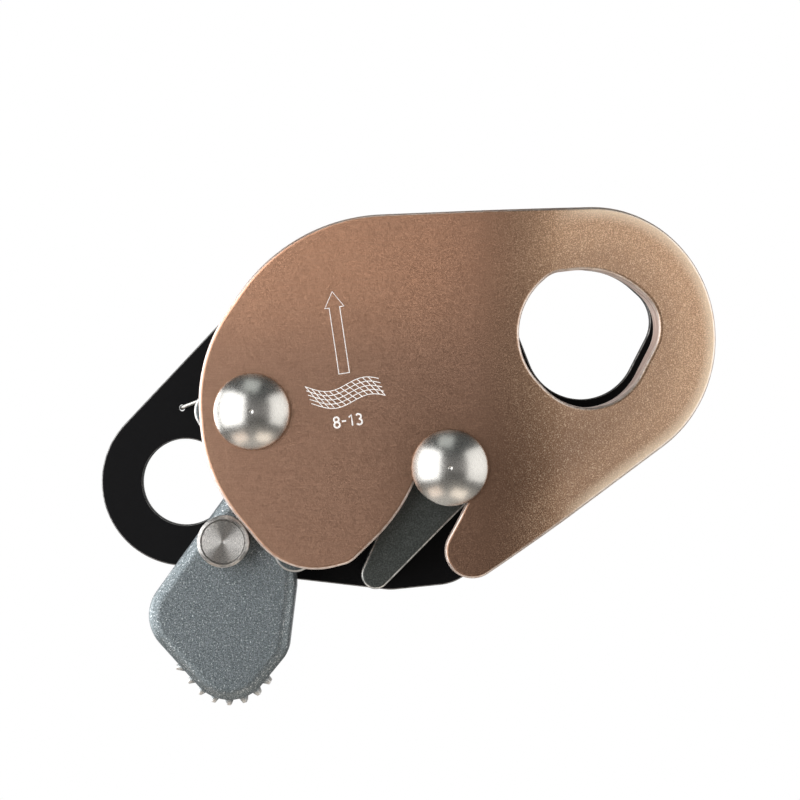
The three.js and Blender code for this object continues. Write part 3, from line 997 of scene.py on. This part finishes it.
def pale_floor():
    """Matt pale board that fades to the white behind it, for the camera only."""
    material, tree, shader = start_material("pale_floor")
    color = blend_colors(tree, grain(tree, 180, 2.0), (0.76, 0.72, 0.68), (0.84, 0.81, 0.77))
    set_look(tree, shader, color, 0.7, 0.0)
    out = node(tree, "VectorMath", {"operation": "LENGTH"}, Vector=object_place(tree)).outputs["Value"]
    seen = node(tree, "LightPath").outputs["Is Camera Ray"]
    glow = product(tree, ranged(tree, out, 0.1, FLOOR_R * 0.95, 0.5, 1.0), seen)
    tree.links.new(glow, shader.inputs["Emission Strength"])
    shader.inputs["Emission Color"].default_value = (1, 1, 1, 1)
    return material


# ---------------------------------------------------------------------------- assembly


def finish_piece(piece, body, material, slot, *nodes):
    """Give a piece its material and body, and let it stand for its CAD nodes. The slot is not used."""
    piece.data.materials.clear()
    piece.data.materials.append(material)
    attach(piece, body)
    if nodes:
        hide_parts(*nodes)


def build_object():
    drawn = drawn_steel()
    bearing = bearing_bronze()
    marking = engraved_white()
    finish_piece(back_plate(), "frame", black_anodised(), "back_plate", "back_plate")
    finish_piece(front_plate(), "side_plate", bronze_anodised(), "front_plate", "front_plate")
    finish_piece(anvil_finger(), "frame", grey_coated(), "anvil", "anvil_finger")
    axle_steel = turned_steel("axle_steel", AXLE, **DOME_LOOK)
    anvil_steel = turned_steel("anvil_steel", ANVIL, **DOME_LOOK)
    pin_steel = turned_steel("pin_steel", STOP_PIN, **PIN_LOOK)
    axle_rivet = rivet("axle_rivet_shaped", AXLE_AT, SHANK_R)
    anvil_rivet = rivet("anvil_rivet_shaped", ANVIL_AT, NECK_R)
    finish_piece(axle_rivet, "frame", axle_steel, "stainless", "axle_rivet")
    finish_piece(anvil_rivet, "frame", anvil_steel, "stainless", "anvil_rivet")
    finish_piece(stop_pin(), "cam", pin_steel, "stainless", "stop_pin")
    finish_piece(toothed_cam(), "cam", cast_steel(), "cast_steel", "toothed_cam")
    finish_piece(torsion_spring(), "frame", drawn, "spring_steel", "torsion_spring")
    for name in ("axle_rear_washer", "anvil_rear_washer", "axle_sleeve"):
        finish_piece(ring_like(name), "frame", drawn, "stainless", name)
    for name in ("pivot_bush", "front_thrust_washer", "rear_thrust_washer"):
        finish_piece(ring_like(name), "frame", bearing, "bush_bronze", name)
    finish_piece(ring_like("cam_bush"), "cam", bearing, "bush_bronze", "cam_bush")
    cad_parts["anvil_dowel"].data.materials.clear()
    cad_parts["anvil_dowel"].data.materials.append(drawn)
    for mark in (arrow_mark(), weave_mark(), range_mark()):
        finish_piece(mark, "side_plate", marking, "front_plate")


# ---------------------------------------------------------------------------- floor, light and camera

CAMERA_DISTANCE = 0.62         # from the front plate's face
VIEW_WIDTH = 0.1356            # how much of that face the image is wide
VIEW_CENTRE = (AXLE[0] + 25.15 * MM, AXLE[1] + 1.97 * MM)
SENSOR = 36.0
FLOOR_R = 2.5
FLOOR_Z = -0.45


def make_camera():
    camera = bpy.data.cameras.new("camera")
    camera.sensor_width = SENSOR
    camera.lens = SENSOR * CAMERA_DISTANCE / VIEW_WIDTH
    camera.clip_start = 0.01
    holder = bpy.data.objects.new("camera", camera)
    holder.location = (VIEW_CENTRE[0], FRONT_OUTER - CAMERA_DISTANCE, VIEW_CENTRE[1])
    holder.rotation_euler = (pi / 2, 0, 0)
    bpy.context.scene.collection.objects.link(holder)
    bpy.context.scene.camera = holder


def softbox(name, azimuth, elevation, distance, width, height, strength, color=(1, 1, 1)):
    """An area light at a bearing from the object's middle, as bright from any distance.

    Azimuth 0 is at the camera's side. The camera doesn't see the light itself.
    """
    light = bpy.data.lights.new(name, "AREA")
    light.shape = "RECTANGLE"
    light.size = width
    light.size_y = height
    light.energy = strength * width * height * pi
    light.color = color
    direction = Vector((
        sin(radians(azimuth)) * cos(radians(elevation)),
        -cos(radians(azimuth)) * cos(radians(elevation)),
        sin(radians(elevation)),
    ))
    holder = bpy.data.objects.new(name, light)
    holder.location = Vector((VIEW_CENTRE[0], 0, VIEW_CENTRE[1])) + direction * distance
    holder.rotation_euler = direction.to_track_quat("Z", "Y").to_euler()
    holder.visible_camera = False
    bpy.context.scene.collection.objects.link(holder)


def make_lights():
    """Two large softboxes, a rim, top and back light, and two warm patches off the table."""
    softbox("softbox_left", -51, 5, 0.32, 0.36, 0.42, 2.45)
    softbox("softbox_right", 71, 4, 0.5, 0.56, 0.62, 1.25, (1.0, 0.98, 0.95))
    softbox("rim_light", -112, 2, 0.45, 0.3, 0.5, 4.0)
    softbox("top_light", -12, 62, 0.3, 0.16, 0.16, 0.7, (0.96, 1.0, 0.97))
    softbox("backlight", 180, 10, 0.8, 0.9, 0.9, 0.7)
    softbox("table_left", -52, -56, 0.35, 0.18, 0.13, 1.1, (1.0, 0.80, 0.66))
    softbox("table_right", 40, -61, 0.35, 0.2, 0.13, 1.15, (1.0, 0.86, 0.72))


def make_world():
    """White behind the object, and a dim room round it that the metal reflects."""
    world = bpy.data.worlds.new("studio")
    world.use_nodes = True
    tree = world.node_tree
    tree.nodes.clear()
    height = node(tree, "SeparateXYZ", Vector=node(tree, "TexCoord").outputs["Generated"]).outputs["Z"]
    lower = blend_colors(tree, ranged(tree, height, -0.9, -0.1), (0.62, 0.52, 0.44), (0.25, 0.238, 0.232))
    room = blend_colors(tree, ranged(tree, height, 0.0, 0.75), lower, (0.08, 0.085, 0.085))
    around = node(tree, "Background", Color=room)
    behind = node(tree, "Background", Color=(1, 1, 1, 1))
    mix = node(tree, "MixShader", Fac=node(tree, "LightPath").outputs["Is Camera Ray"])
    tree.links.new(around.outputs[0], mix.inputs[1])
    tree.links.new(behind.outputs[0], mix.inputs[2])
    node(tree, "OutputWorld", Surface=mix.outputs[0])
    bpy.context.scene.world = world


def make_floor():
    bm = bmesh.new()
    bmesh.ops.create_circle(bm, cap_ends=True, segments=96, radius=FLOOR_R)
    floor = to_object("floor", bm)
    floor.location.z = FLOOR_Z
    floor.data.materials.append(pale_floor())


make_camera()
build_object()
make_floor()
make_lights()
make_world()
bpy.context.scene.view_settings.view_transform = "Standard"


def corners(box):
    return [[float(value) for value in corner] for corner in box]
